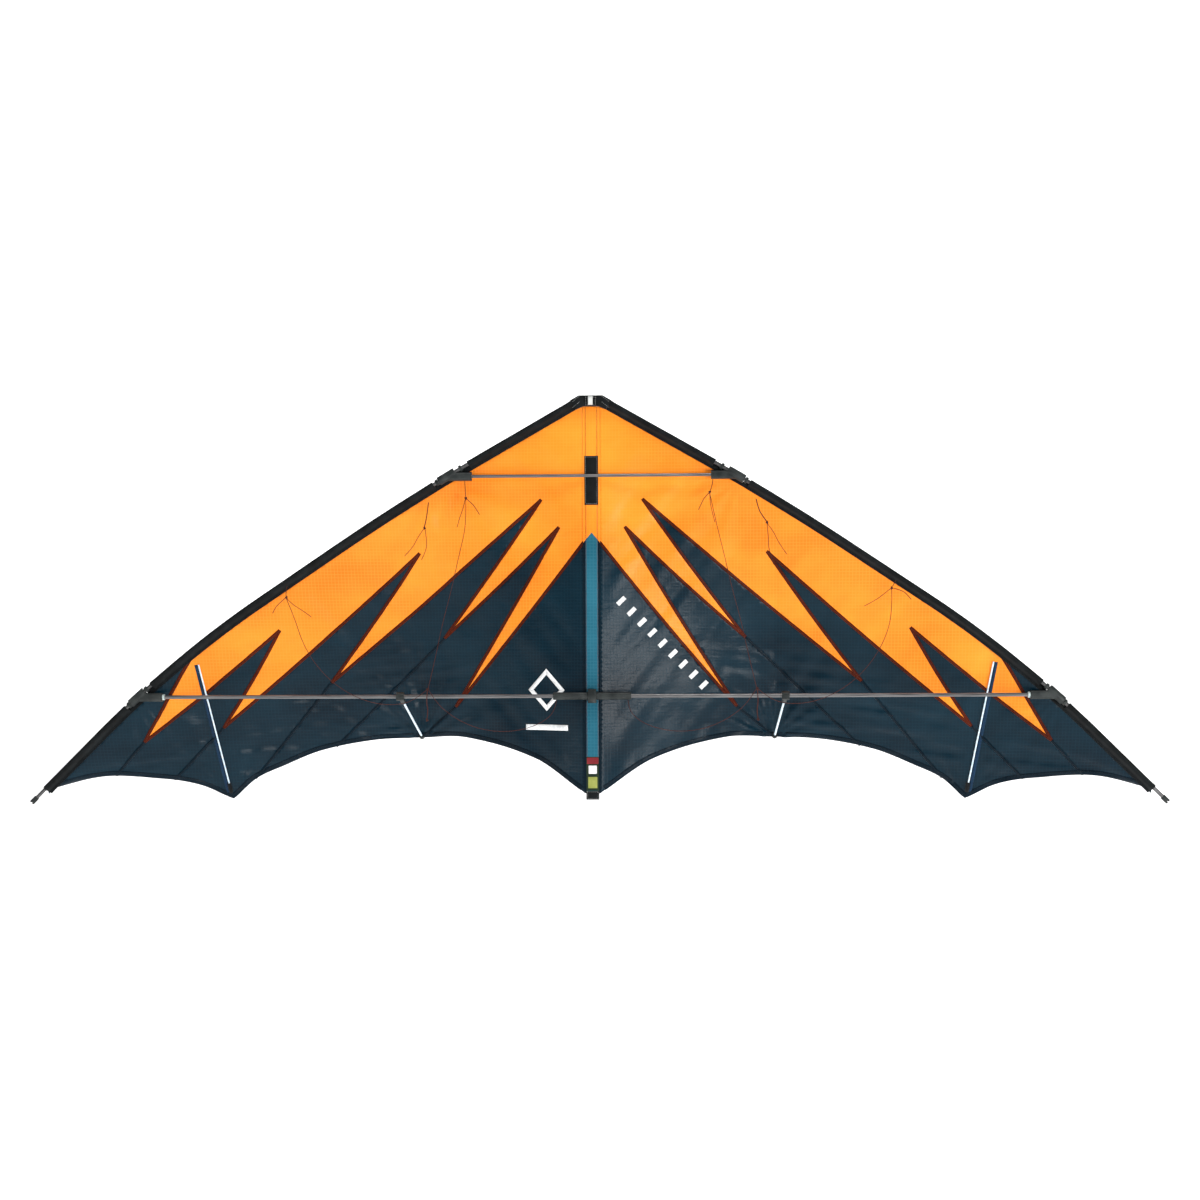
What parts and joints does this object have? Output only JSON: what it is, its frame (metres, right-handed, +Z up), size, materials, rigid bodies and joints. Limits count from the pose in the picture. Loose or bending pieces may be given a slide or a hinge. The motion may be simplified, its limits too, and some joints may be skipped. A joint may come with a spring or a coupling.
{
  "type": "delta sport kite",
  "caption": "Two-line delta sport kite with a flame-patterned panelled sail, leading-edge spars, spreaders, stand-offs, battens and a bridle; its wings fold back on the spine.",
  "frame": {"origin": "middle of the hang loop on the nose", "axes": "+Z up to the nose, +X along the span to the right as the flyer sees it, +Y through the sail to its back"},
  "size_m": [1.8102, 0.174, 0.6481],
  "materials": {
    "orange_cloth": "ripstop polyester, semi-matt",
    "dark_cloth": "ripstop polyester, semi-matt",
    "centre_cloth": "ripstop polyester, semi-matt",
    "black_webbing": "heavy woven polyester",
    "pale_webbing": "woven webbing",
    "label_cloth": "woven label",
    "carbon": "pultruded carbon tube, satin",
    "black_rubber": "moulded rubber, satin",
    "white_rod": "pultruded glass-fibre rod, glossy",
    "bridle_line": "braided line"
  },
  "bodies": {
    "centre": {"centre_patch": "black_webbing", "centre_t": "black_rubber", "hang_loop": "pale_webbing", "label_patch": "label_cloth", "nose_patch": "black_webbing", "spine": "carbon", "spine_end_caps": "black_rubber", "spine_sleeve": "centre_cloth", "tail_tab": "black_webbing"},
    "left_wing": {"left_bridle_knots": "bridle_line", "left_ferrule": "carbon", "left_first_panel": "dark_cloth", "left_fourth_panel": "dark_cloth", "left_inner_bridle_leg": "bridle_line", "left_inner_panel": "dark_cloth", "left_leading_edge_sleeve": "black_webbing", "left_lower_connector": "black_rubber", "left_lower_spar": "carbon", "left_lower_spreader": "carbon", "left_orange_panel": "orange_cloth", "left_outer_batten": "white_rod", "left_outer_bridle_leg": "bridle_line", "left_second_panel": "dark_cloth", "left_stopper_clips": "black_rubber", "left_third_panel": "dark_cloth", "left_tip_nock": "black_rubber", "left_tip_panel": "dark_cloth", "left_trailing_edge_cup": "black_rubber", "left_upper_bridle_leg": "bridle_line", "left_upper_connector": "black_rubber", "left_upper_spar": "carbon"},
    "right_wing": {"right_bridle_knots": "bridle_line", "right_ferrule": "carbon", "right_first_panel": "dark_cloth", "right_fourth_panel": "dark_cloth", "right_inner_bridle_leg": "bridle_line", "right_inner_panel": "dark_cloth", "right_leading_edge_sleeve": "black_webbing", "right_lower_connector": "black_rubber", "right_lower_spar": "carbon", "right_lower_spreader": "carbon", "right_orange_panel": "orange_cloth", "right_outer_batten": "white_rod", "right_outer_bridle_leg": "bridle_line", "right_second_panel": "dark_cloth", "right_stopper_clips": "black_rubber", "right_third_panel": "dark_cloth", "right_tip_nock": "black_rubber", "right_tip_panel": "dark_cloth", "right_trailing_edge_cup": "black_rubber", "right_upper_bridle_leg": "bridle_line", "right_upper_connector": "black_rubber", "right_upper_spar": "carbon"},
    "upper_spreader": {"upper_spreader": "carbon"},
    "left_standoff": {"left_standoff_connector": "black_rubber", "left_standoff_rod": "white_rod"},
    "right_standoff": {"right_standoff_connector": "black_rubber", "right_standoff_rod": "white_rod"},
    "tail_strap": {"tail_strap": "black_webbing"}
  },
  "joints": [
    {"name": "left_wing_fold", "type": "hinge", "parent": "centre", "child": "left_wing", "pos_m": [-0.0113, 0.0148, -0.2915], "axis": [0, 0, -1], "range_deg": [0, 60], "deforming": ["centre_t", "nose_patch"]},
    {"name": "right_wing_fold", "type": "hinge", "parent": "centre", "child": "right_wing", "pos_m": [0.0113, 0.0148, -0.2915], "axis": [0, 0, 1], "range_deg": [0, 60], "deforming": ["centre_t", "nose_patch"]},
    {"name": "upper_spreader_pull", "type": "slide", "parent": "centre", "child": "upper_spreader", "axis": [0, -1, 0], "range_m": [0, 0.06]},
    {"name": "left_standoff_swing", "type": "hinge", "parent": "left_wing", "child": "left_standoff", "pos_m": [-0.306, 0.0088, -0.4681], "axis": [-1, 0, 0], "range_deg": [0, 60]},
    {"name": "right_standoff_swing", "type": "hinge", "parent": "right_wing", "child": "right_standoff", "pos_m": [0.306, 0.0088, -0.4681], "axis": [-1, 0, 0], "range_deg": [0, 60]},
    {"name": "tail_strap_open", "type": "hinge", "parent": "centre", "child": "tail_strap", "pos_m": [0, 0.0144, -0.63313], "axis": [-1, 0, 0], "range_deg": [0, 100]}
  ]
}
